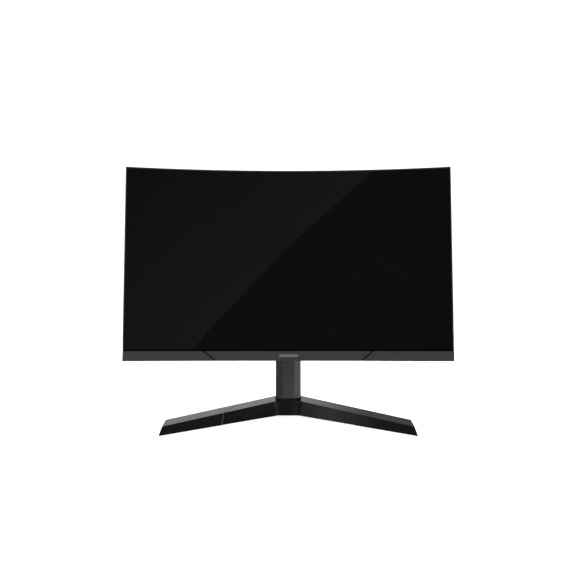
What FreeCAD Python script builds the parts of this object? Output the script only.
"""Curved desktop computer monitor on a V-shaped stand, as an assembly of separate pieces.

Row frame: millimetres, +X to the viewer's right, +Y away from the viewer, +Z up, origin on the table
under the centre of the whole object. The display is modelled upright about its own frame, whose origin
is on the vertical axis that the screen curves round (screen_radius in front of the glass, at half the
housing's height), and is then leaned back by tilt_rest and set on its hinge.
"""

import FreeCAD, Part
import math
import os
import re
import Sketcher

V = FreeCAD.Vector
X_AXIS, Y_AXIS, Z_AXIS = V(1, 0, 0), V(0, 1, 0), V(0, 0, 1)

# Every driving dimension: alias, value (mm or degrees), what it is.
DIMENSIONS = [
    # display housing
    ("screen_radius", 1500, "curve of the glass front"),
    ("body_sweep", 20.66, "angle that the housing spans about the curve's axis"),
    ("body_height", 321, "housing height"),
    ("tilt_rest", 4, "lean of the display at rest"),
    ("screen_front", 11, "Y of the middle of the glass"),
    ("screen_middle", 261.2, "height of the middle of the glass"),
    ("frame_wall", 1.8, "side and top bezel width"),
    ("frame_proud", 0.4, "bezel in front of the glass"),
    ("frame_back", 5, "bezel depth behind the glass front"),
    ("chin_height", 16.1, "lower bezel height"),
    ("chin_proud", 2, "lower bezel in front of the glass"),
    ("chin_wall", 1.5, "lower bezel wall"),
    ("chin_relief", 0.5, "bevel along the lower bezel's edges"),
    ("groove_head", 139.5, "X of the chin groove's top"),
    ("groove_foot", 121.5, "X of the chin groove's foot"),
    ("groove_width", 1.7, "chin groove width along X"),
    ("badge_long", 32, "badge length"),
    ("badge_height", 4.4, "badge height"),
    ("badge_drop", 7.4, "badge centre below the chin's top"),
    ("badge_proud", 0.4, "badge thickness"),
    ("led_across", 244, "arc from the middle to the power light"),
    ("led_drop", 10.6, "power light below the chin's top"),
    ("led_half", 3.6, "half of the power light's length"),
    ("led_tall", 1.4, "power light's height"),
    # panel stack
    ("glass_inset", 2, "gap from housing edge to glass edge"),
    ("glass_foot", 14.5, "glass's lower edge above the housing's foot"),
    ("glass_thick", 1.4, "LCD cell with polarisers"),
    ("sheet_inset", 8, "film and light guide inset"),
    ("sheet_foot", 17.5, "lower edge of films and light guide"),
    ("film_front", 1.6, "optical films' front"),
    ("film_back", 2.2, "optical films' back"),
    ("guide_front", 2.4, "light guide's front"),
    ("guide_back", 5.4, "light guide's back"),
    ("reflector_back", 5.8, "reflector's back"),
    ("tray_front", 1.5, "panel tray's rim"),
    ("tray_back", 6.8, "panel tray's back"),
    ("tray_wall", 0.8, "panel tray sheet thickness"),
    ("tray_inset", 2.6, "panel tray's inset from the housing edge"),
    ("lamp_pitch", 18, "arc between backlight LEDs"),
    # rear cover
    ("cover_wall", 2, "rear cover wall"),
    ("cover_front", 5.3, "rear cover's front rim"),
    ("edge_back", 16, "rear cover's back at its edges"),
    ("shell_back", 22, "rear cover's back inside its bevel"),
    ("edge_bevel", 22, "height of the rear bevel"),
    ("hub_back", 38, "raised hub's back"),
    ("hub_base", 6, "depth at which the hub's outline is drawn"),
    ("hub_half", 178, "half width of the hub's outline"),
    ("hub_top", 100, "top of the hub's outline"),
    ("hub_foot", 105, "foot of the hub's outline, below the middle"),
    ("hub_corner", 38, "corner cut of the hub's outline"),
    ("recess_half", 58, "half width of the mounting recess"),
    ("recess_floor", 32, "mounting recess's floor"),
    ("vent_low", 69, "lower end of the vents"),
    ("vent_high", 83, "upper end of the vents"),
    ("vent_pitch", 9, "vent spacing"),
    ("vent_half", 1.6, "half width of a vent"),
    # connector bay
    ("bay_left", 122, "bay's left side, left of the middle"),
    ("bay_right", 58, "bay's right side, left of the middle"),
    ("bay_foot", 110, "bay's foot, below the middle"),
    ("bay_ceiling", 72, "bay's ceiling, below the middle"),
    ("bay_front", 13, "bay's front"),
    ("bay_wall", 1.6, "bay liner wall"),
    ("port_mouth", 74.2, "connector mouths, below the middle"),
    # mounting and electronics
    ("chassis_front", 16.5, "chassis sheet's front"),
    ("chassis_back", 17.7, "chassis sheet's back"),
    ("chassis_half", 140, "chassis half width"),
    ("chassis_rise", 64, "chassis half height"),
    ("flange_front", 0.7, "front of the chassis flanges"),
    ("boss_radius", 5, "mounting boss radius"),
    ("boss_hole", 2, "M4 hole radius"),
    ("vesa_half", 50, "half of the 100 mm wall-mount pattern"),
    ("head_bolt_half", 32, "half of the stand head's bolt pattern"),
    ("board_front", 20.4, "circuit boards' front"),
    ("board_back", 22, "circuit boards' back"),
    ("tcon_front", 8, "timing board's front"),
    ("tcon_back", 9.2, "timing board's back"),
    # buttons
    ("button_first", 160, "arc from the middle to the first button"),
    ("button_pitch", 16, "arc between buttons"),
    ("button_long", 9, "button length"),
    ("button_deep", 3.4, "button depth"),
    ("button_middle", 10.4, "button centre behind the glass front"),
    ("button_proud", 0.6, "button below the housing"),
    ("button_gap", 0.3, "clearance round a button"),
    # hinge
    ("hinge_back", 67, "tilt axis behind the glass"),
    ("hinge_drop", 10, "tilt axis below the display's middle"),
    ("shaft_radius", 4, "hinge shaft radius"),
    ("shaft_half", 25, "half of the hinge shaft's length"),
    ("bore_gap", 0.05, "running clearance round the shaft"),
    ("ear_radius", 9, "hinge ear radius"),
    ("ear_inner", 9.5, "inside of the yoke's ears"),
    ("ear_outer", 12.5, "outside of the yoke's ears"),
    ("knuckle_inner", 13.5, "inside of the head's knuckles"),
    ("knuckle_outer", 16.5, "outside of the head's knuckles"),
    ("head_half", 42, "half width of the head plate"),
    ("head_thick", 3, "head plate thickness"),
    ("drum_radius", 24, "hinge cover's outer radius"),
    ("drum_half", 31, "hinge cover's half width"),
    ("drum_wall", 2, "hinge cover wall"),
    # column
    ("column_front", 58, "column's front face"),
    ("column_back", 94, "column's back face"),
    ("column_split", 79, "where the column's two covers meet"),
    ("column_half", 22.3, "column half width"),
    ("column_face", 10.6, "half width of the column's flat front"),
    ("column_bevel", 9, "depth of the column's front bevels"),
    ("column_rear_face", 15, "half width of the column's flat back"),
    ("column_rear_bevel", 6, "depth of the column's rear bevels"),
    ("column_wall", 2, "column cover wall"),
    ("column_foot_z", 29.5, "lower end of the column covers"),
    ("column_top", 222, "upper end of the column covers"),
    ("spine_half", 13.5, "spine tube half width"),
    ("spine_front", 64, "spine tube's front"),
    ("spine_back", 88, "spine tube's back"),
    ("spine_wall", 2, "spine tube wall"),
    ("spine_top", 218, "spine tube's upper end"),
    ("plug_gap", 0.1, "slip clearance inside the spine tube"),
    # base
    ("hub_x", 18, "half width of the base's straight middle"),
    ("hub_edge_y", 57, "front top edge of the base's middle"),
    ("hub_edge_z", 25.5, "height of that edge"),
    ("hub_ridge_y", 93.8, "ridge of the base's middle"),
    ("hub_ridge_z", 29.916, "height of that ridge"),
    ("hub_rear_y", 103.9, "rear top edge of the base's middle"),
    ("hub_rear_z", 24.967, "height of that edge"),
    ("tip_x", 200, "where a leg's end section is drawn"),
    ("tip_edge_y", -112.65, "front top edge"),
    ("tip_edge_z", 12.3, "height of that edge"),
    ("tip_ridge_y", -78.8, "ridge"),
    ("tip_ridge_z", 16.362, "height of the ridge"),
    ("tip_rear_y", -73, "rear top edge"),
    ("tip_rear_z", 13.52, "height of that edge"),
    ("base_front_lean", 0.25, "lean of the base's front faces, per height"),
    ("base_rear_lean", 0.19, "lean of its rear faces"),
    ("end_x", 192.6, "front corner of a leg's end face at table height"),
    ("end_y", -106, "and its Y"),
    ("end_slope", 18.2, "lean of the leg's end face"),
    ("end_turn", 4.1, "turn of the leg's end face in plan"),
    ("base_wall", 2.6, "base shell wall"),
    ("arm_lift", 0.6, "underside of the inner arms"),
    ("cap_lift", 0.3, "underside of the leg ends"),
    ("seam_front_x", 105, "seam between arm and leg end, front"),
    ("seam_front_y", -25, "and its Y"),
    ("seam_rear_x", 90, "seam, rear"),
    ("seam_rear_y", 17, "and its Y"),
    ("plate_low", 3, "underside of the steel plate"),
    ("plate_high", 5, "top of the steel plate"),
    ("foot_pad_radius", 6.5, "rubber foot radius"),
    ("screw_y", 76, "base thumb screw's axis"),
    ("thread_radius", 2.9, "thumb screw thread radius"),
    ("screw_head_radius", 10, "thumb screw head radius"),
    ("screw_head_low", 0.5, "underside of the thumb screw's head"),
]

doc = FreeCAD.newDocument("curved_monitor")
sheet = doc.addObject("Spreadsheet::Sheet", "dims")
for row, (alias, value, meaning) in enumerate(DIMENSIONS, 1):
    sheet.set(f"A{row}", meaning)
    sheet.set(f"B{row}", str(value))
    sheet.setAlias(f"B{row}", alias)
doc.recompute()

ALIASES = re.compile(r"\b(" + "|".join(alias for alias, _, _ in DIMENSIONS) + r")\b")
NODES = {}


# ---------------------------------------------------------------- expressions, sketches and features
def bound(text):
    """The text as an expression over the sheet's cells."""
    return ALIASES.sub(r"dims.\1", text)


def size(text):
    """The number that an expression has now; plain numbers pass through."""
    if not isinstance(text, str):
        return float(text)
    result = sheet.evalExpression(bound(text))
    return float(getattr(result, "Value", result))


def bind(thing, prop, text):
    """Ties a property to the sheet, or sets it where the size is a plain number."""
    if isinstance(text, str):
        thing.setExpression(prop, bound(text))
    else:
        head, _, last = prop.rpartition(".")
        target = thing
        for name in filter(None, head.split(".")):
            target = getattr(target, name)
        if head:
            thing.setExpression(prop, repr(float(text)))
        else:
            setattr(target, last, float(text))


def new_body(name):
    return doc.addObject("PartDesign::Body", name)


def add_sketch(body, plane, outlines, offset=0):
    """A sketch of closed polygons and ("circle", x, y, radius) entries, every point tied to the sheet."""
    sketch = body.newObject("Sketcher::SketchObject", body.Name + "_sketch")
    origin_plane = next(o for o in body.Origin.OriginFeatures if o.Role == plane)
    sketch.AttachmentSupport = [(origin_plane, "")]
    sketch.MapMode = "FlatFace"
    bind(sketch, "AttachmentOffset.Base.z", offset)
    for outline in outlines:
        if outline[0] == "circle":
            _, x, y, radius = outline
            circle = Part.Circle(V(size(x), size(y), 0), Z_AXIS, size(radius))
            index = sketch.addGeometry(circle, False)
            number = sketch.addConstraint(Sketcher.Constraint("Radius", index, size(radius)))
            if isinstance(radius, str):
                sketch.setExpression(f"Constraints[{number}]", bound(radius))
            pin_point(sketch, index, 3, x, y)
            continue
        corners = [V(size(x), size(y), 0) for x, y in outline]
        first = sketch.GeometryCount
        for i, corner in enumerate(corners):
            sketch.addGeometry(Part.LineSegment(corner, corners[(i + 1) % len(corners)]), False)
        for i, (x, y) in enumerate(outline):
            following = first + (i + 1) % len(outline)
            sketch.addConstraint(Sketcher.Constraint("Coincident", first + i, 2, following, 1))
            pin_point(sketch, first + i, 1, x, y)
    return sketch


def pin_point(sketch, geometry, point, x, y):
    for kind, text in (("DistanceX", x), ("DistanceY", y)):
        rule = Sketcher.Constraint(kind, -1, 1, geometry, point, size(text))
        number = sketch.addConstraint(rule)
        if isinstance(text, str):
            sketch.setExpression(f"Constraints[{number}]", bound(text))


def add_pad(body, sketch, length, reverse=False, middle=False, taper=0):
    pad = body.newObject("PartDesign::Pad", body.Name + "_pad")
    pad.Profile = sketch
    bind(pad, "Length", length)
    pad.Reversed = reverse
    pad.Midplane = middle
    pad.TaperAngle = taper
    return pad


def spin(body, kind, sketch, sweep):
    """A Revolution or Groove of the sketch about the body's Z axis, half the sweep to each side."""
    feature = body.newObject("PartDesign::" + kind, f"{body.Name}_{kind.lower()}")
    feature.Profile = sketch
    feature.ReferenceAxis = (sketch, ["V_Axis"])
    feature.Midplane = True
    bind(feature, "Angle", sweep)
    return feature


def swept(inset):
    """The sweep of a piece whose ends stand inset inside the housing's ends."""
    return f"body_sweep - 2 * ({inset}) / screen_radius * 180 / pi"


def rectangle(low_x, high_x, low_y, high_y):
    return [(low_x, low_y), (high_x, low_y), (high_x, high_y), (low_x, high_y)]


def curved_slab(name, front, back, low, high, inset):
    """A sheet that follows the screen's curve, front to back behind the glass front."""
    body = new_body(name)
    section = rectangle(f"screen_radius + {front}", f"screen_radius + {back}", low, high)
    spin(body, "Revolution", add_sketch(body, "YZ_Plane", [section]), swept(inset))
    return body


def slab_y(name, outlines, front, back):
    """A flat piece of the display, parallel to XZ, from front to back behind the glass front."""
    body = new_body(name)
    sketch = add_sketch(body, "XZ_Plane", outlines, f"-(screen_radius + {front})")
    add_pad(body, sketch, f"({back}) - ({front})", reverse=True)
    return body


def slab_z(name, outlines, low, high):
    body = new_body(name)
    add_pad(body, add_sketch(body, "XY_Plane", outlines, low), f"({high}) - ({low})")
    return body


def slab_x(name, outlines, low, high):
    body = new_body(name)
    add_pad(body, add_sketch(body, "YZ_Plane", outlines, low), f"({high}) - ({low})")
    return body


def block(x, y, z):
    """A Part::Box between pairs of bounds."""
    box = doc.addObject("Part::Box", "block")
    for side, axis, (low, high) in zip(("Length", "Width", "Height"), "xyz", (x, y, z)):
        bind(box, side, f"({high}) - ({low})")
        bind(box, f"Placement.Base.{axis}", low)
    return box


def rod(radius, start, axis, length):
    """A Part::Cylinder from a point along an axis."""
    cylinder = doc.addObject("Part::Cylinder", "rod")
    cylinder.Placement = FreeCAD.Placement(V(), FreeCAD.Rotation(Z_AXIS, axis))
    bind(cylinder, "Radius", radius)
    bind(cylinder, "Height", length)
    for name, text in zip("xyz", start):
        bind(cylinder, f"Placement.Base.{name}", text)
    return cylinder


def behind(depth):
    """A depth behind the middle of the glass front, in the display's frame."""
    return f"screen_radius + {depth}"


def deep(front, back):
    return behind(front), behind(back)


def group(shapes):
    if len(shapes) == 1:
        return shapes[0]
    compound = doc.addObject("Part::Compound", "group")
    compound.Links = shapes
    return compound


def fuse(*shapes):
    union = doc.addObject("Part::MultiFuse", "fuse")
    union.Shapes = list(shapes)
    return union


def cut(base, *tools):
    """Base less tools that don't overlap one another."""
    remains = doc.addObject("Part::Cut", "cut")
    remains.Base, remains.Tool = base, group(list(tools))
    return remains


def common(*shapes):
    shared = doc.addObject("Part::MultiCommon", "common")
    shared.Shapes = list(shapes)
    return shared


def moved(shape, placement):
    """The shape as one more object, placed."""
    holder = doc.addObject("Part::Compound", "moved")
    holder.Links = [shape]
    holder.Placement = placement
    return holder


def around_arc(arc):
    """Turns something from the display's middle along the housing by an arc length, to the right."""
    angle = math.degrees(size(arc) / size("screen_radius"))
    return FreeCAD.Placement(V(), FreeCAD.Rotation(Z_AXIS, -angle))


def display_placement():
    lean = FreeCAD.Rotation(X_AXIS, -size("tilt_rest"))
    stand = FreeCAD.Placement(V(0, size("screen_front"), size("screen_middle")), lean)
    return stand * FreeCAD.Placement(V(0, -size("screen_radius"), 0), FreeCAD.Rotation())


def keep(name, thing, placement=None):
    """Names a finished sub-part."""
    thing.Label = name
    if placement is not None:
        thing.Placement = placement * thing.Placement
    NODES[name] = thing


DISPLAY = display_placement()
BUTTON_ROW = around_arc("button_first + 2 * button_pitch")
TOP, FOOT = "body_height / 2", "-body_height / 2"
CHIN_TOP = "(chin_height - body_height / 2)"


# ---------------------------------------------------------------- bezel and chin
def make_middle_frame():
    body = new_body("frame_body")
    low = f"{FOOT} + chin_wall + 0.2"
    outer = rectangle(behind("-frame_proud"), behind("frame_back"), low, TOP)
    spin(body, "Revolution", add_sketch(body, "YZ_Plane", [outer]), "body_sweep")
    hole = rectangle(behind("-3"), behind("9"), f"{low} + frame_wall", f"{TOP} - frame_wall")
    spin(body, "Groove", add_sketch(body, "YZ_Plane", [hole]), swept("frame_wall"))
    keep("middle_frame", body, DISPLAY)


def chin_groove(side):
    """The slot of one slanting groove, from the chin's floor up past its top."""
    low, high = f"{FOOT} + chin_wall", CHIN_TOP
    outline = [
        (f"{side} * groove_foot - groove_width / 2", low),
        (f"{side} * groove_foot + groove_width / 2", low),
        (f"{side} * groove_head + groove_width / 2", high),
        (f"{side} * groove_head - groove_width / 2", high),
    ]
    return slab_y("groove_slot", [outline], "-12", "-0.2")


def led_window(grow):
    """The power light's lens, grown by a clearance."""
    middle, half_tall = f"({CHIN_TOP} - led_drop)", f"(led_tall / 2 + {grow})"
    long = (f"-led_half - {grow}", f"led_half + {grow}")
    tall = (f"{middle} - {half_tall}", f"{middle} + {half_tall}")
    shape = block(long, deep(-2 - 2 * grow, -0.5 + grow), tall)
    return moved(shape, around_arc("led_across"))


def make_chin():
    body = new_body("chin_body")
    front, back = behind("-chin_proud"), behind("(chin_wall - chin_proud)")
    section = [
        (front, f"{FOOT} + chin_relief"),
        (behind("(chin_relief - chin_proud)"), FOOT),
        (behind("frame_back"), FOOT),
        (behind("frame_back"), f"{FOOT} + chin_wall"),
        (back, f"{FOOT} + chin_wall"),
        (back, CHIN_TOP),
        (behind("(chin_relief - chin_proud)"), CHIN_TOP),
        (front, f"{CHIN_TOP} - chin_relief"),
    ]
    spin(body, "Revolution", add_sketch(body, "YZ_Plane", [section]), "body_sweep")
    keep("chin_bezel", cut(body, chin_groove(-1), chin_groove(1), led_window(0.05)), DISPLAY)


def make_badge():
    """A plain rounded bar that follows the chin's curve."""
    middle = f"({CHIN_TOP} - badge_drop)"
    skin = new_body("badge_body")
    section = rectangle(
        behind("(-chin_proud - badge_proud)"), behind("-chin_proud"), f"{middle} - 5", f"{middle} + 5"
    )
    spin(skin, "Revolution", add_sketch(skin, "YZ_Plane", [section]), 3)
    straight = "(badge_long / 2 - badge_height / 2)"
    tall = (f"{middle} - badge_height / 2", f"{middle} + badge_height / 2")
    bar = block((f"-{straight}", straight), deep("-9", "9"), tall)
    ends = [
        rod("badge_height / 2", (x, behind("-9"), middle), Y_AXIS, 18) for x in (f"-{straight}", straight)
    ]
    keep("chin_badge", common(skin, fuse(bar, *ends)), DISPLAY)


def make_power_light():
    keep("led_lens", led_window(0), DISPLAY)
    middle = f"({CHIN_TOP} - led_drop)"
    lamp = block((-1.5, 1.5), deep("-0.5", "1.4"), (f"{middle} - 0.6", f"{middle} + 0.6"))
    keep("power_led", moved(lamp, around_arc("led_across")), DISPLAY)


# ---------------------------------------------------------------- panel stack
def make_panel():
    foot = f"{FOOT} + glass_foot"
    head = f"{TOP} - glass_inset"
    keep("lcd_panel", curved_slab("lcd_body", "0", "glass_thick", foot, head, "glass_inset"), DISPLAY)
    foot, head = f"{FOOT} + sheet_foot", f"{TOP} - sheet_inset"
    for name, front, back in (
        ("optical_films", "film_front", "film_back"),
        ("light_guide", "guide_front", "guide_back"),
        ("reflector_sheet", "(guide_back + 0.1)", "reflector_back"),
    ):
        keep(name, curved_slab(name + "_body", front, back, foot, head, "sheet_inset"), DISPLAY)


def make_tray():
    body = new_body("tray_body")
    low, high = f"{FOOT} + tray_inset + chin_wall", f"{TOP} - tray_inset"
    outer = rectangle(behind("tray_front"), behind("tray_back"), low, high)
    spin(body, "Revolution", add_sketch(body, "YZ_Plane", [outer]), swept("tray_inset"))
    hollow = rectangle(
        behind("-3"), behind("(tray_back - tray_wall)"), f"{low} + tray_wall", f"{high} - tray_wall"
    )
    spin(body, "Groove", add_sketch(body, "YZ_Plane", [hollow]), swept("(tray_inset + tray_wall)"))
    holes = [screw_hole(1.5, "tray_front", "(tray_back + 3)", place) for place in COVER_SCREWS]
    keep("panel_tray", cut(body, *holes), DISPLAY)


def make_led_strip():
    low = f"({FOOT} + 14.3)"
    strip = curved_slab("strip_body", "2.2", "5.6", low, f"{low} + 1", "10")
    half_arc = math.radians(size("body_sweep") / 2) * size("screen_radius")
    half_count = int((half_arc - 14) / size("lamp_pitch"))
    lamps = []
    for index in range(-half_count, half_count + 1):
        lamp = block((-1.5, 1.5), deep("2.8", "5"), (f"{low} + 1", f"{low} + 1.9"))
        lamps.append(moved(lamp, around_arc(index * size("lamp_pitch"))))
    keep("led_strip", fuse(strip, *lamps), DISPLAY)


# ---------------------------------------------------------------- rear cover
COVER_SCREWS = [(side * 205, z) for side in (-1, 1) for z in (-118, 118)]
BUTTON_NAMES = ["menu", "up", "down", "source", "power"]


def screw_hole(radius, front, back, place):
    arc, height = place
    hole = rod(radius, (0, behind(front), height), Y_AXIS, f"({back}) - ({front})")
    return moved(hole, around_arc(arc))


def end_wedge(side, off):
    """What lies outside one straight end of the rear cover's block and past its bevel."""
    half = "(body_sweep / 2)"
    inner = "((body_sweep / 2) - edge_bevel / screen_radius * 180 / pi)"
    end = f"((screen_radius + cover_front) * sin({half}) - {off})"
    edge, back = f"(screen_radius + edge_back - {off})", f"(screen_radius + shell_back - {off})"
    outline = [
        (end, f"{edge} * cos({half}) - 60"),
        (end, f"{edge} * cos({half})"),
        (f"{back} * sin({inner})", f"{back} * cos({inner})"),
        (f"{back} * sin({inner})", f"{back} * cos({inner}) + 40"),
        (f"{end} + 40", f"{back} * cos({inner}) + 40"),
        (f"{end} + 40", f"{edge} * cos({half}) - 60"),
    ]
    return slab_z("end_wedge", [[(f"{side} * ({x})", y) for x, y in outline]], f"{FOOT} - 5", f"{TOP} + 5")


def hub_outline(off):
    """The raised hub's eight corners; off is the wall measured square to its 45 degree sides."""
    long_cut, short_cut = f"{off} * sqrt(2)", f"{off} * sqrt(2) * tan(22.5)"
    wide, narrow = f"(hub_half - {long_cut})", f"(hub_half - hub_corner - {short_cut})"
    top, top_corner = f"(hub_top - {long_cut})", f"(hub_top - hub_corner - {short_cut})"
    low, low_corner = f"(hub_foot - {long_cut})", f"(hub_foot - hub_corner - {short_cut})"
    right = [(narrow, f"-{low}"), (wide, f"-{low_corner}"), (wide, top_corner), (narrow, top)]
    return right + [(f"-{x}", z) for x, z in reversed(right)]


def rear_solid(off):
    """The rear cover's outside as a solid, or with a wall's offset the space inside it."""
    body = new_body("rear_body")
    foot, head = f"{FOOT} + {off}", f"{TOP} - {off}"
    front = behind("cover_front") if off == "0" else behind("-5")
    edge, back = behind(f"edge_back - {off}"), behind(f"shell_back - {off}")
    section = [
        (front, foot),
        (edge, foot),
        (back, f"{foot} + edge_bevel"),
        (back, f"{head} - edge_bevel"),
        (edge, head),
        (front, head),
    ]
    spin(body, "Revolution", add_sketch(body, "YZ_Plane", [section]), swept(off))
    shell = cut(body, end_wedge(-1, off), end_wedge(1, off))
    hub = new_body("hub_body")
    sketch = add_sketch(hub, "XZ_Plane", [hub_outline(off)], "-(screen_radius + hub_base)")
    add_pad(hub, sketch, f"hub_back - hub_base - {off}", reverse=True, taper=-45)
    half = f"(recess_half + {off})"
    recess = block(
        (f"-{half}", half), (behind(f"recess_floor - {off}"), behind("hub_back + 9")), (f"-{half}", half)
    )
    return cut(fuse(shell, hub), recess)


def make_rear_cover():
    outside = rear_solid("0")
    shell = cut(outside, rear_solid("cover_wall"))
    posts = [screw_post(place) for place in COVER_SCREWS]
    ledges = [
        moved(block((low, low + 2), deep("8", "13"), (f"{FOOT} + 1", f"{FOOT} + 6.9")), BUTTON_ROW)
        for low in (-40.2, 38.2)
    ]
    shell = fuse(shell, *posts, *ledges)
    vents = []
    for indices, front, tall in (
        (range(-11, 12), "1", ("vent_low", "vent_high")),
        (range(-2, 13), "12", ("-89", "-76")),
    ):
        for index in indices:
            wide = (f"{index} * vent_pitch - vent_half", f"{index} * vent_pitch + vent_half")
            vents.append(block(wide, deep(front, "50"), tall))
    bay = block(("-bay_left", "-bay_right"), deep("bay_front", "60"), ("-bay_foot", "-bay_ceiling"))
    lock = block((96, 103), deep("30", "50"), (-52, -49))
    bosses = [
        rod("boss_radius + 0.2", (x, behind("recess_floor - 5"), z), Y_AXIS, 8) for x, z in boss_places()
    ]
    openings = [screw_hole(1.6, "0", "30", place) for place in COVER_SCREWS]
    slots = [button_block(i, "button_gap", (f"{FOOT} - 4", f"{FOOT} + 4")) for i in range(len(BUTTON_NAMES))]
    cover = cut(shell, bay, lock, *vents, *bosses, *openings, *slots)
    counterbores = [screw_hole(3.4, "17", "30", place) for place in COVER_SCREWS]
    keep("rear_cover", cut(cover, *counterbores), DISPLAY)
    return outside


def screw_post(place):
    arc, height = place
    post = rod(4.4, (0, behind("tray_back + 0.2"), height), Y_AXIS, "shell_back - tray_back - 1")
    return moved(post, around_arc(arc))


def boss_places():
    wall = [(f"{x} * vesa_half", f"{z} * vesa_half") for x in (-1, 1) for z in (-1, 1)]
    head = [(f"{x} * head_bolt_half", f"{z} * head_bolt_half") for x in (-1, 1) for z in (-1, 1)]
    return wall + head


def turned_screw(head_radius, head_height, shank_radius, shank_length):
    """A cross-recessed pan-head screw along +Y, its head's underside at y = 0 and its shank at y < 0."""
    body = new_body("screw_body")
    sketch = add_sketch(body, "XZ_Plane", [("circle", 0, 0, shank_radius)], 0)
    add_pad(body, sketch, shank_length)
    sketch = add_sketch(body, "XZ_Plane", [("circle", 0, 0, head_radius)], 0)
    add_pad(body, sketch, head_height, reverse=True)
    arm = head_radius * 0.55
    bars = [
        block((-arm, arm), (head_height * 0.5, head_height + 1), (-0.35, 0.35)),
        block((-0.35, 0.35), (head_height * 0.5, head_height + 1), (-arm, arm)),
    ]
    return cut(body, fuse(*bars))


def make_cover_screws():
    screws = []
    for arc, height in COVER_SCREWS:
        seat = FreeCAD.Placement(V(0, size(behind("17")), height), FreeCAD.Rotation())
        screws.append(moved(turned_screw(3, 1.8, 1.45, 10.7), around_arc(arc) * seat))
    keep("cover_screws", group(screws), DISPLAY)


# ---------------------------------------------------------------- connector bay and ports
PORTS = [  # name, X of its middle, width, depth, height, opening
    ("audio_jack", -116.2, 6.6, 6.2, 13),
    ("hdmi_port", -103.5, 15, 6, 12),
    ("display_port", -85.5, 16.4, 5.6, 12),
    ("dc_jack", -68.5, 9, 10.6, 13),
]


def make_bay(outside):
    inner = block(
        ("bay_wall - bay_left", "-bay_right - bay_wall"),
        deep("bay_front + bay_wall", "70"),
        ("bay_wall - bay_foot", "-bay_ceiling - bay_wall"),
    )
    region = block(("-bay_left", "-bay_right"), deep("bay_front", "60"), ("-bay_foot", "-bay_ceiling"))
    liner = cut(common(outside, region), inner)
    holes = []
    for _, x, w, d, _ in PORTS:
        wide, thick = (x - w / 2 - 0.1, x + w / 2 + 0.1), deep("board_back - 0.1", f"board_back + {d} + 0.1")
        holes.append(block(wide, thick, ("-bay_ceiling - bay_wall - 1", "-bay_ceiling + 1")))
    keep("io_bay", cut(liner, *holes), DISPLAY)


def port_body(x, w, d, h):
    wide, tall = (x - w / 2, x + w / 2), ("-port_mouth", f"{h} - port_mouth")
    return block(wide, deep("board_back", f"board_back + {d}"), tall)


def make_ports():
    for name, x, w, d, h in PORTS:
        middle = f"board_back + {d} / 2"
        shell = port_body(x, w, d, h)
        if name == "audio_jack":
            hole = rod(1.8, (x, behind(middle), "-port_mouth - 1"), Z_AXIS, 12)
            keep(name, cut(shell, hole), DISPLAY)
        elif name == "dc_jack":
            hole = rod(3, (x, behind(middle), "-port_mouth - 1"), Z_AXIS, 10)
            pin = rod(1.05, (x, behind(middle), "0.8 - port_mouth"), Z_AXIS, 9)
            keep(name, fuse(cut(shell, hole), pin), DISPLAY)
        else:
            cavity = block(
                (x - w / 2 + 0.6, x + w / 2 - 0.6),
                deep("board_back + 0.6", f"board_back + {d} - 0.6"),
                ("-port_mouth - 1", "9 - port_mouth"),
            )
            tongue = block(
                (x - w / 2 + 2, x + w / 2 - 2),
                deep(f"{middle} - 0.6", f"{middle} + 0.6"),
                ("0.7 - port_mouth", "10 - port_mouth"),
            )
            keep(name, fuse(cut(shell, cavity), tongue), DISPLAY)


# ---------------------------------------------------------------- chassis, boards and wiring
MAIN_BOARD = ((-135, -57), (-66, 30))
POWER_BOARD = ((57, 129), (-45, 45))
MAIN_CHIPS = [  # left, right, foot, top, height
    (-112, -86, -20, 6, 2),
    (-128, -119, -40, -28, 1.4),
    (-74, -64, 8, 22, 1.4),
    (-104, -70, -46, -38, 1.6),
]
POWER_PARTS = [
    (66, 84, -20, 0, 7),
    (92, 104, 12, 28, 6),
    (108, 120, -24, -8, 4),
    (72, 82, 20, 34, 2),
]


def board_corners(board, inset=4):
    (left, right), (low, high) = board
    return [(x, z) for x in (left + inset, right - inset) for z in (low + inset, high - inset)]


def make_chassis():
    tall = ("-chassis_rise", "chassis_rise")
    sheet_metal = block(("-chassis_half", "chassis_half"), deep("chassis_front", "chassis_back"), tall)
    flanges = [
        block(wide, deep("flange_front", "chassis_back"), tall)
        for wide in (("-chassis_half", "1.2 - chassis_half"), ("chassis_half - 1.2", "chassis_half"))
    ]
    length = "recess_floor - chassis_front"
    bosses, holes = [], []
    for x, z in boss_places():
        bosses.append(rod("boss_radius", (x, behind("chassis_front"), z), Y_AXIS, length))
        holes.append(rod("boss_hole", (x, behind("chassis_front - 1"), z), Y_AXIS, f"{length} + 2"))
    slots = [
        block((left, right), deep("chassis_front - 1", "chassis_back + 1"), (low, high))
        for left, right, low, high in ((-101, -70, -62, -56), (94, 102, -33, -28))
    ]
    screws = [
        rod(1.25, (x, behind("chassis_front - 1"), z), Y_AXIS, 4)
        for board in (MAIN_BOARD, POWER_BOARD)
        for x, z in board_corners(board)
        if abs(x) < size("chassis_half") - 3
    ]
    keep("chassis_plate", cut(fuse(sheet_metal, *flanges, *bosses), *holes, *slots, *screws), DISPLAY)


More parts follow.
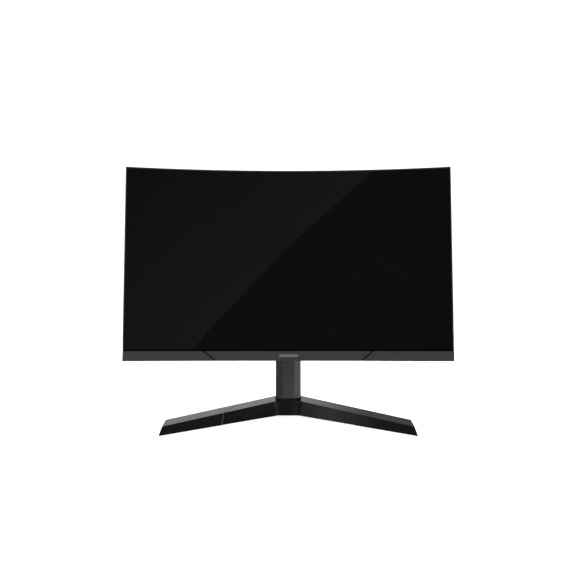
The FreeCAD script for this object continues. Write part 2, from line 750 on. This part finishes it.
def make_boards():
    for name, board, chips in (
        ("main_board", MAIN_BOARD, MAIN_CHIPS),
        ("power_board", POWER_BOARD, POWER_PARTS),
    ):
        (left, right), (low, high) = board
        holes = [("circle", x, z, 1.6) for x, z in board_corners(board)]
        outline = rectangle(left, right, low, high)
        plate = slab_y(name + "_body", [outline] + holes, "board_front", "board_back")
        parts = [
            block((a, b), deep("board_back", f"board_back + {h}"), (c, d)) for a, b, c, d, h in chips
        ]
        keep(name, fuse(plate, *parts), DISPLAY)
    can = block((-114, -84), deep("board_back", "board_back + 5"), (-22, 8))
    inside = block((-113.5, -84.5), deep("board_back - 1", "board_back + 4.5"), (-21.5, 7.5))
    keep("board_shield", cut(can, inside), DISPLAY)
    plate = slab_y("tcon_body", [rectangle(-90, 90, -151, -135)], "tcon_front", "tcon_back")
    chips = [block((a, a + 12), deep("tcon_back", "tcon_back + 1.2"), (-148, -139)) for a in (-40, 10, 50)]
    keep("tcon_board", fuse(plate, *chips), DISPLAY)


def make_board_fixings():
    posts, screws = [], []
    for board in (MAIN_BOARD, POWER_BOARD):
        for x, z in board_corners(board):
            if abs(x) > size("chassis_half") - 3:
                continue
            tube = rod(2.6, (x, behind("chassis_back"), z), Y_AXIS, "board_front - chassis_back")
            posts.append(cut(tube, rod(1.25, (x, behind("chassis_front"), z), Y_AXIS, 9)))
            seat = FreeCAD.Placement(V(x, size(behind("board_back")), z), FreeCAD.Rotation())
            screws.append(moved(turned_screw(2.6, 1.6, 1.2, 5.5), seat))
    keep("board_standoffs", group(posts), DISPLAY)
    keep("board_screws", group(screws), DISPLAY)


def make_wiring():
    back = "screen_radius + tcon_back"
    ribbon = [
        (back, -140),
        (f"{back} + 0.4", -140),
        (f"{back} + 0.4", -59.4),
        ("screen_radius + board_front", -59.4),
        ("screen_radius + board_front", -59),
        (back, -59),
    ]
    keep("panel_cable", slab_x("ribbon_body", [ribbon], -99.5, -82), DISPLAY)
    feed = [
        ("screen_radius + 4.4", -148),
        ("screen_radius + 5.2", -148),
        ("screen_radius + 5.2", -30.8),
        ("screen_radius + board_front", -30.8),
        ("screen_radius + board_front", -30),
        ("screen_radius + 4.4", -30),
    ]
    keep("backlight_cable", slab_x("feed_body", [feed], 95, 101), DISPLAY)
    lead = fuse(
        block((153, 156), deep("3", "3.5"), (-152.4, -139.5)),
        block((153, 156), deep("3", "10.5"), (-140, -139.5)),
        block((153, 156), deep("10", "10.5"), (-140, -121)),
        block((-76, 156), deep("10", "10.5"), (-124, -121)),
        block((-76, -73), deep("10", "10.5"), (-124, -59)),
        block((-76, -73), deep("10", "board_front"), (-59.5, -59)),
    )
    keep("button_cable", lead, DISPLAY)


def make_lock_plate():
    outline = rectangle(91, 108, -58, -43)
    slot = rectangle(96, 103, -52, -49)
    front = "hub_back - cover_wall - 1.3"
    keep("lock_plate", slab_y("lock_body", [outline, slot], front, "hub_back - cover_wall - 0.1"), DISPLAY)


# ---------------------------------------------------------------- buttons
def button_block(index, gap, z):
    """The plan of one button, in its place along the housing's foot."""
    half_long, half_deep = f"(button_long / 2 + {gap})", f"(button_deep / 2 + {gap})"
    middle = "button_middle"
    plan = block((f"-{half_long}", half_long), deep(f"{middle} - {half_deep}", f"{middle} + {half_deep}"), z)
    return moved(plan, around_arc(f"button_first + {index} * button_pitch"))


def make_buttons():
    for index, name in enumerate(BUTTON_NAMES):
        cap = button_block(index, "0", (f"{FOOT} - button_proud", f"{FOOT} + 4.5"))
        flange = button_block(index, "0.8", (f"{FOOT} + cover_wall + 0.3", f"{FOOT} + cover_wall + 1.3"))
        keep(name + "_button", fuse(cap, flange), DISPLAY)
    low, high = f"{FOOT} + 6.9", f"{FOOT} + 8.1"
    board = block((-40, 40), deep("7.6", "13.2"), (low, high))
    keep("button_board", moved(board, BUTTON_ROW), DISPLAY)
    switches = []
    for index in range(len(BUTTON_NAMES)):
        case = block((-2, 2), deep("button_middle - 2", "button_middle + 2"), (f"{FOOT} + 5.7", low))
        plunger = rod(1, (0, behind("button_middle"), f"{FOOT} + 5.3"), Z_AXIS, 0.6)
        switches.append(moved(fuse(case, plunger), around_arc(f"button_first + {index} * button_pitch")))
    keep("tact_switches", group(switches), DISPLAY)


# ---------------------------------------------------------------- hinge
def hinge_point():
    """The tilt axis in the row frame."""
    return DISPLAY.multVec(V(0, size(behind("hinge_back")), -size("hinge_drop")))


def make_head():
    """The head plate with its two knuckles, which carry the display on the shaft."""
    axis = (behind("hinge_back"), "-hinge_drop")
    back = behind("recess_floor + head_thick")
    square = rectangle("-head_half", "head_half", "-head_half", "head_half")
    plate = slab_y("head_body", [square], "recess_floor", "recess_floor + head_thick")
    bolts = [
        rod(2.2, (f"{x} * head_bolt_half", behind("recess_floor - 1"), f"{z} * head_bolt_half"), Y_AXIS, 6)
        for x in (-1, 1)
        for z in (-1, 1)
    ]
    knuckles = []
    for low, high in (("-knuckle_outer", "-knuckle_inner"), ("knuckle_inner", "knuckle_outer")):
        arm = [
            (back, "-hinge_drop - 1.5 * ear_radius"),
            (axis[0], "-hinge_drop - ear_radius"),
            (axis[0], "ear_radius - hinge_drop"),
            (back, "1.5 * ear_radius - hinge_drop"),
        ]
        knuckles.append(slab_x("arm_body", [arm], low, high))
        knuckles.append(rod("ear_radius", (low, *axis), X_AXIS, f"({high}) - ({low})"))
    bore = rod("shaft_radius + bore_gap", (-40, *axis), X_AXIS, 80)
    keep("head_bracket", cut(fuse(plate, *knuckles), bore, *bolts), DISPLAY)
    screws = []
    for x in (-1, 1):
        for z in (-1, 1):
            bolt = size("head_bolt_half")
            seat = FreeCAD.Placement(V(x * bolt, size(back), z * bolt), FreeCAD.Rotation())
            screws.append(moved(turned_screw(3.8, 2.4, 1.9, 12), seat))
    keep("head_screws", group(screws), DISPLAY)


def make_hinge_cover():
    axis = (behind("hinge_back"), "-hinge_drop")
    drum = rod("drum_radius", ("-drum_half", *axis), X_AXIS, "2 * drum_half")
    neck = block(
        ("-drum_half", "drum_half"),
        deep("recess_floor + head_thick", "hinge_back - 14"),
        ("-hinge_drop - 18", "18 - hinge_drop"),
    )
    inner_start = ("drum_wall - drum_half", *axis)
    hollow = rod("drum_radius - drum_wall", inner_start, X_AXIS, "2 * (drum_half - drum_wall)")
    throat = block(
        ("drum_wall - drum_half", "drum_half - drum_wall"),
        deep("recess_floor + head_thick - 1", "hinge_back - 10"),
        ("-hinge_drop - 16", "16 - hinge_drop"),
    )
    mouth = block(
        ("-ear_outer - 0.7", "ear_outer + 0.7"),
        deep("hinge_back - 15.5", "hinge_back + 15.5"),
        (-60, "-hinge_drop - 10"),
    )
    keep("hinge_cover", cut(cut(fuse(drum, neck), fuse(hollow, throat)), mouth), DISPLAY)


def make_yoke_and_shaft():
    axis = hinge_point()
    seat = FreeCAD.Placement(V(0, axis.y, axis.z), FreeCAD.Rotation())
    drop = axis.z - size("spine_top")
    plate = block(("-ear_outer", "ear_outer"), (-10.5, 10.5), (-drop, 3 - drop))
    inset = "(spine_wall + plug_gap)"
    tongue = block(
        (f"{inset} - spine_half", f"spine_half - {inset}"),
        (size(f"spine_front + {inset}") - axis.y, size(f"spine_back - {inset}") - axis.y),
        (-drop - 24, -drop),
    )
    ears = []
    for low, high in (("-ear_outer", "-ear_inner"), ("ear_inner", "ear_outer")):
        ears.append(block((low, high), ("-ear_radius", "ear_radius"), (-drop, 0)))
        ears.append(rod("ear_radius", (low, 0, 0), X_AXIS, f"({high}) - ({low})"))
    bore = rod("shaft_radius", (-40, 0, 0), X_AXIS, 80)
    threads = [rod(1.6, (x, -14, -drop - 11), Y_AXIS, 30) for x in (-7, 7)]
    keep("hinge_yoke", cut(fuse(plate, tongue, *ears), bore, *threads), seat)
    keep("hinge_shaft", moved(rod("shaft_radius", ("-shaft_half", 0, 0), X_AXIS, "2 * shaft_half"), seat))
    keep("friction_washers", group(washers([("ear_outer", 0.7, 8)])), seat)
    stack = [(f"knuckle_outer + 0.3 + {i} * 0.8", 0.8, 7 - 0.5 * i) for i in range(3)]
    keep("spring_washers", group(washers(stack)), seat)
    nuts = []
    corners = [math.radians(60 * i) for i in range(6)]
    hexagon = [(6.5 * math.cos(angle), 6.5 * math.sin(angle)) for angle in corners]
    low = size("knuckle_outer") + 2.7
    for side in (-1, 1):
        start = low if side > 0 else -low - 3.6
        nuts.append(slab_x("nut_body", [hexagon, ("circle", 0, 0, "shaft_radius")], start, start + 3.6))
    keep("hinge_nuts", group(nuts), seat)


def washers(rows):
    """Rings on the shaft, mirrored to both sides: (inner face, thickness, radius) each."""
    rings = []
    for face, thick, radius in rows:
        for start in (f"{face}", f"-({face}) - {thick}"):
            disc = rod(radius, (start, 0, 0), X_AXIS, thick)
            rings.append(cut(disc, rod("shaft_radius", (f"{start} - 1", 0, 0), X_AXIS, thick + 2)))
    return rings


# ---------------------------------------------------------------- column
def column_outline(off, low=None, high=None):
    """The column's plan, grown by off (negative is inside), as one polygon or the part between two Ys."""
    half, front, back = f"(column_half + {off})", f"(column_front - {off})", f"(column_back + {off})"
    face, rear = f"(column_face + {off} * 0.4)", f"(column_rear_face + {off} * 0.4)"
    right = [
        (face, front),
        (half, f"{front} + column_bevel"),
        (half, f"{back} - column_rear_bevel"),
        (rear, back),
    ]
    if low is not None:
        right = [(half, low), right[2], right[3]]
    if high is not None:
        right = [right[0], right[1], (half, high)]
    return right + [(f"-{x}", y) for x, y in reversed(right)]


def make_column():
    split, through = "column_split", ("column_foot_z - 5", "column_top + 5")
    front = slab_z("front_body", [column_outline("0", high=split)], "column_foot_z", "column_top")
    space = slab_z("space_body", [column_outline("(-column_wall)", high=f"{split} + 5")], *through)
    keep("column_front_cover", cut(front, space))
    rear = slab_z("rear_body", [column_outline("0", low=f"{split} + 0.2")], "column_foot_z", "column_top")
    space = slab_z("space_body", [column_outline("(-column_wall)", low=f"{split} - 5")], *through)
    holes = [rod(1.7, (0, "column_split", z), Y_AXIS, 30) for z in (66, 170)]
    sinks = [rod(3.3, (0, "column_back - 0.8", z), Y_AXIS, 9) for z in (66, 170)]
    keep("column_rear_cover", cut(cut(cut(rear, space), *holes), *sinks))
    outer = rectangle("-spine_half", "spine_half", "spine_front", "spine_back")
    inner = rectangle(
        "spine_wall - spine_half",
        "spine_half - spine_wall",
        "spine_front + spine_wall",
        "spine_back - spine_wall",
    )
    tube = slab_z("spine_body", [outer, inner], "column_foot_z", "spine_top")
    taps = [rod(1.6, (x, "spine_back - 5", z), Y_AXIS, 9) for x, z in column_screw_places()]
    keep("column_spine", cut(tube, *taps))
    cap_outline = column_outline("(-column_wall - 0.2)")
    hole = rectangle("-ear_outer - 0.7", "ear_outer + 0.7", "spine_front + 2", "spine_back + 0.4")
    keep("column_cap", slab_z("cap_body", [cap_outline, hole], "column_top - 2.5", "column_top - 0.5"))


def column_screw_places():
    yoke_z = size("spine_top") - 11
    return [(-7, 45), (7, 45), (-7, yoke_z), (7, yoke_z), (0, 66), (0, 170)]


def make_column_screws():
    hidden, shown = [], []
    for x, z in column_screw_places():
        if x:
            seat = FreeCAD.Placement(V(x, size("spine_back"), z), FreeCAD.Rotation())
            hidden.append(moved(turned_screw(2.8, 1.6, 1.5, 7), seat))
        else:
            seat = FreeCAD.Placement(V(x, size("column_back - 0.8"), z), FreeCAD.Rotation())
            shown.append(moved(turned_screw(3, 1.4, 1.5, 9), seat))
    keep("spine_screws", group(hidden))
    keep("column_screws", group(shown))


def make_column_foot():
    low = ("plate_high + 3.2", "column_foot_z")
    lower = block(("-spine_half", "spine_half"), ("spine_front", "spine_back"), low)
    inset = "(spine_wall + plug_gap)"
    upper = block(
        (f"{inset} - spine_half", f"spine_half - {inset}"),
        (f"spine_front + {inset}", f"spine_back - {inset}"),
        ("column_foot_z", "column_foot_z + 30"),
    )
    thread = rod("thread_radius + 0.08", (0, "screw_y", "plate_high"), Z_AXIS, 17)
    taps = [rod(1.6, (x, "spine_back - 9", 45), Y_AXIS, 9) for x in (-7, 7)]
    keep("column_foot", cut(fuse(lower, upper), thread, *taps))


# ---------------------------------------------------------------- base
def base_section(place, off, floor):
    """A leg's section at the hub or the tip, drawn in YZ, with its walls moved in by off."""
    shift = off * 1.4
    front_drop = f"base_front_lean * ({place}_edge_z - {off} - ({floor}))"
    rear_drop = f"base_rear_lean * ({place}_rear_z - {off} - ({floor}))"
    return [
        (f"{place}_edge_y + {shift} - {front_drop}", floor),
        (f"{place}_edge_y + {shift}", f"{place}_edge_z - {off}"),
        (f"{place}_ridge_y", f"{place}_ridge_z - {off}"),
        (f"{place}_rear_y - {shift}", f"{place}_rear_z - {off}"),
        (f"{place}_rear_y - {shift} + {rear_drop}", floor),
    ]


def leg_loft(side, off, floor):
    body = new_body("leg_body")
    start = add_sketch(body, "YZ_Plane", [base_section("hub", off, floor)], f"{side} * hub_x")
    finish = add_sketch(body, "YZ_Plane", [base_section("tip", off, floor)], f"{side} * tip_x")
    loft = body.newObject("PartDesign::AdditiveLoft", "leg_loft")
    loft.Profile = start
    loft.Sections = [finish]
    loft.Ruled = True
    return body


def leg_end(side, off):
    """What lies past a leg's leaning end face, moved in by off."""
    lean = FreeCAD.Rotation(Z_AXIS, -size("end_turn")) * FreeCAD.Rotation(Y_AXIS, -size("end_slope"))
    corner = V(size("end_x") - off, size("end_y"), 0)
    slab = moved(block((0, 60), (-60, 110), (-20, 60)), FreeCAD.Placement(corner, lean))
    if side > 0:
        return slab
    mirror = doc.addObject("Part::Mirroring", "mirror")
    mirror.Source = slab
    mirror.Normal = X_AXIS
    return mirror


def outboard(side, gap):
    """The plan of everything outside the seam between the arms and the leg ends."""
    dx, dy = "(seam_front_x - seam_rear_x)", "(seam_front_y - seam_rear_y)"
    line = [
        (f"seam_front_x + 2.5 * {dx} + {gap}", f"seam_front_y + 2.5 * {dy}"),
        (f"seam_rear_x - 2 * {dx} + {gap}", f"seam_rear_y - 2 * {dy}"),
    ]
    far = [(260, f"seam_rear_y - 2 * {dy}"), (260, f"seam_front_y + 2.5 * {dy}")]
    return slab_z("outboard_body", [[(f"{side} * ({x})", y) for x, y in line + far]], -5, 60)


def hub_block(off, floor):
    body = new_body("hub_block")
    sketch = add_sketch(body, "YZ_Plane", [base_section("hub", off, floor)], 0)
    add_pad(body, sketch, "2 * hub_x", middle=True)
    return body


BASE_SCREWS = [(side * x, y) for side in (-1, 1) for x, y in ((58, 39.5), (150, -48))]
FOOT_PADS = [(side * x, y) for side in (-1, 1) for x, y in ((12, 92.5), (92, 7), (173, -74))]


def base_post(place, outside):
    """A screw post from the steel plate up into the shell."""
    x, y = place
    column = rod(4, (x, y, "plate_high"), Z_AXIS, 30)
    return cut(common(column, outside), rod(1.3, (x, y, "plate_high - 1"), Z_AXIS, 8))


def make_base_shell():
    outside = fuse(hub_block(0, "arm_lift"), leg_loft(1, 0, "arm_lift"), leg_loft(-1, 0, "arm_lift"))
    wall = size("base_wall")
    inside = fuse(hub_block(wall, -9), leg_loft(1, wall, -9), leg_loft(-1, wall, -9))
    shell = cut(cut(outside, inside), outboard(1, 0), outboard(-1, 0))
    column = slab_z("column_hole", [column_outline("0.5")], "plate_high", 60)
    posts = [base_post(place, outside) for place in BASE_SCREWS if abs(place[0]) < 100]
    keep("base_shell", fuse(cut(shell, column), *posts))


def make_leg_ends():
    wall = size("base_wall")
    for side, name in ((1, "right"), (-1, "left")):
        outside = cut(common(leg_loft(side, 0, "cap_lift"), outboard(side, 0.25)), leg_end(side, 0))
        inside = cut(leg_loft(side, wall, -9), leg_end(side, wall * 1.1))
        shell = cut(outside, inside)
        posts = [base_post(place, outside) for place in BASE_SCREWS if place[0] * side > 100]
        keep(f"leg_end_{name}", fuse(shell, *posts))


def make_base_plate():
    """The V-shaped steel plate under the shells, with holes for its screws and the thumb screw."""
    right = [(17, 61.5), (181, -90.5), (181, -67), (17, 99.5)]
    outline = right + [(-x, y) for x, y in reversed(right)]
    holes = [("circle", x, y, 1.7) for x, y in BASE_SCREWS]
    holes.append(("circle", 0, "screw_y", "thread_radius + 0.4"))
    keep("base_plate", slab_z("plate_body", [outline] + holes, "plate_low", "plate_high"))


def make_feet_and_screws():
    pads = []
    for x, y in FOOT_PADS:
        base = rod("foot_pad_radius", (x, y, 0.8), Z_AXIS, "plate_low - 0.8")
        sole = rod("foot_pad_radius - 0.8", (x, y, 0), Z_AXIS, 0.8)
        pads.append(fuse(base, sole))
    keep("rubber_feet", group(pads))
    screws = []
    for x, y in BASE_SCREWS:
        down = FreeCAD.Rotation(Y_AXIS, V(0, 0, -1))
        seat = FreeCAD.Placement(V(x, y, size("plate_low")), down)
        screws.append(moved(turned_screw(2.8, 1.2, 1.25, 7), seat))
    keep("base_screws", group(screws))


def make_socket_and_collar():
    outer = rectangle("-spine_half - 1.6", "spine_half + 1.6", "spine_front - 0.9", "spine_back + 6")
    hole = rectangle("-spine_half - 0.1", "spine_half + 0.1", "spine_front - 0.1", "spine_back + 0.1")
    walls = slab_z("socket_body", [outer, hole], "plate_high + 3", 21)
    pass_hole = ("circle", 0, "screw_y", "thread_radius + 0.4")
    floor = slab_z("floor_body", [outer, pass_hole], "plate_high", "plate_high + 3")
    keep("hub_socket", fuse(walls, floor))
    inner = rectangle("-spine_half - 0.2", "spine_half + 0.2", "spine_front - 0.2", "spine_back + 0.2")
    keep("column_collar", slab_z("collar_body", [column_outline("0.2"), inner], 21.2, "column_foot_z"))


def make_thumb_screw():
    low = "screw_head_low"
    head = rod("screw_head_radius", (0, "screw_y", low), Z_AXIS, "plate_low - screw_head_low - 0.3")
    shank = rod("thread_radius", (0, "screw_y", low), Z_AXIS, 20)
    slot = block(
        ("2 - screw_head_radius", "screw_head_radius - 2"),
        ("screw_y - 0.9", "screw_y + 0.9"),
        (0, f"{low} + 1.2"),
    )
    notches = []
    for i in range(24):
        angle = math.radians(15 * i)
        x = f"(screw_head_radius + 0.25) * {math.cos(angle):.5f}"
        y = f"screw_y + (screw_head_radius + 0.25) * {math.sin(angle):.5f}"
        notches.append(rod(0.7, (x, y, 0), Z_AXIS, 4))
    keep("thumb_screw", cut(fuse(head, shank), slot, *notches))


# ---------------------------------------------------------------- build, check, write
make_middle_frame()
make_chin()
make_badge()
make_power_light()
make_panel()
make_tray()
make_led_strip()
housing = make_rear_cover()
make_cover_screws()
make_bay(housing)
make_ports()
make_chassis()
make_boards()
make_board_fixings()
make_wiring()
make_lock_plate()
make_buttons()
make_head()
make_hinge_cover()
make_yoke_and_shaft()
make_column()
make_column_screws()
make_column_foot()
make_base_shell()
make_leg_ends()
make_base_plate()
make_feet_and_screws()
make_socket_and_collar()
make_thumb_screw()
doc.recompute()

faults = [o.Name for o in doc.Objects if {"Invalid", "Error"} & set(o.State)]
for name, thing in NODES.items():
    if thing.Shape.isNull() or not thing.Shape.isValid() or not thing.Shape.Solids:
        faults.append(name)
if faults:
    raise SystemExit(f"failed: {faults}")
os.makedirs("parts", exist_ok=True)
total = FreeCAD.BoundBox()
for name, thing in NODES.items():
    thing.Shape.exportStep(f"parts/{name}.step")
    total.add(thing.Shape.BoundBox)
print(len(NODES), "nodes", total)
point = hinge_point()
print("hinge", round(point.y, 4), round(point.z, 4))
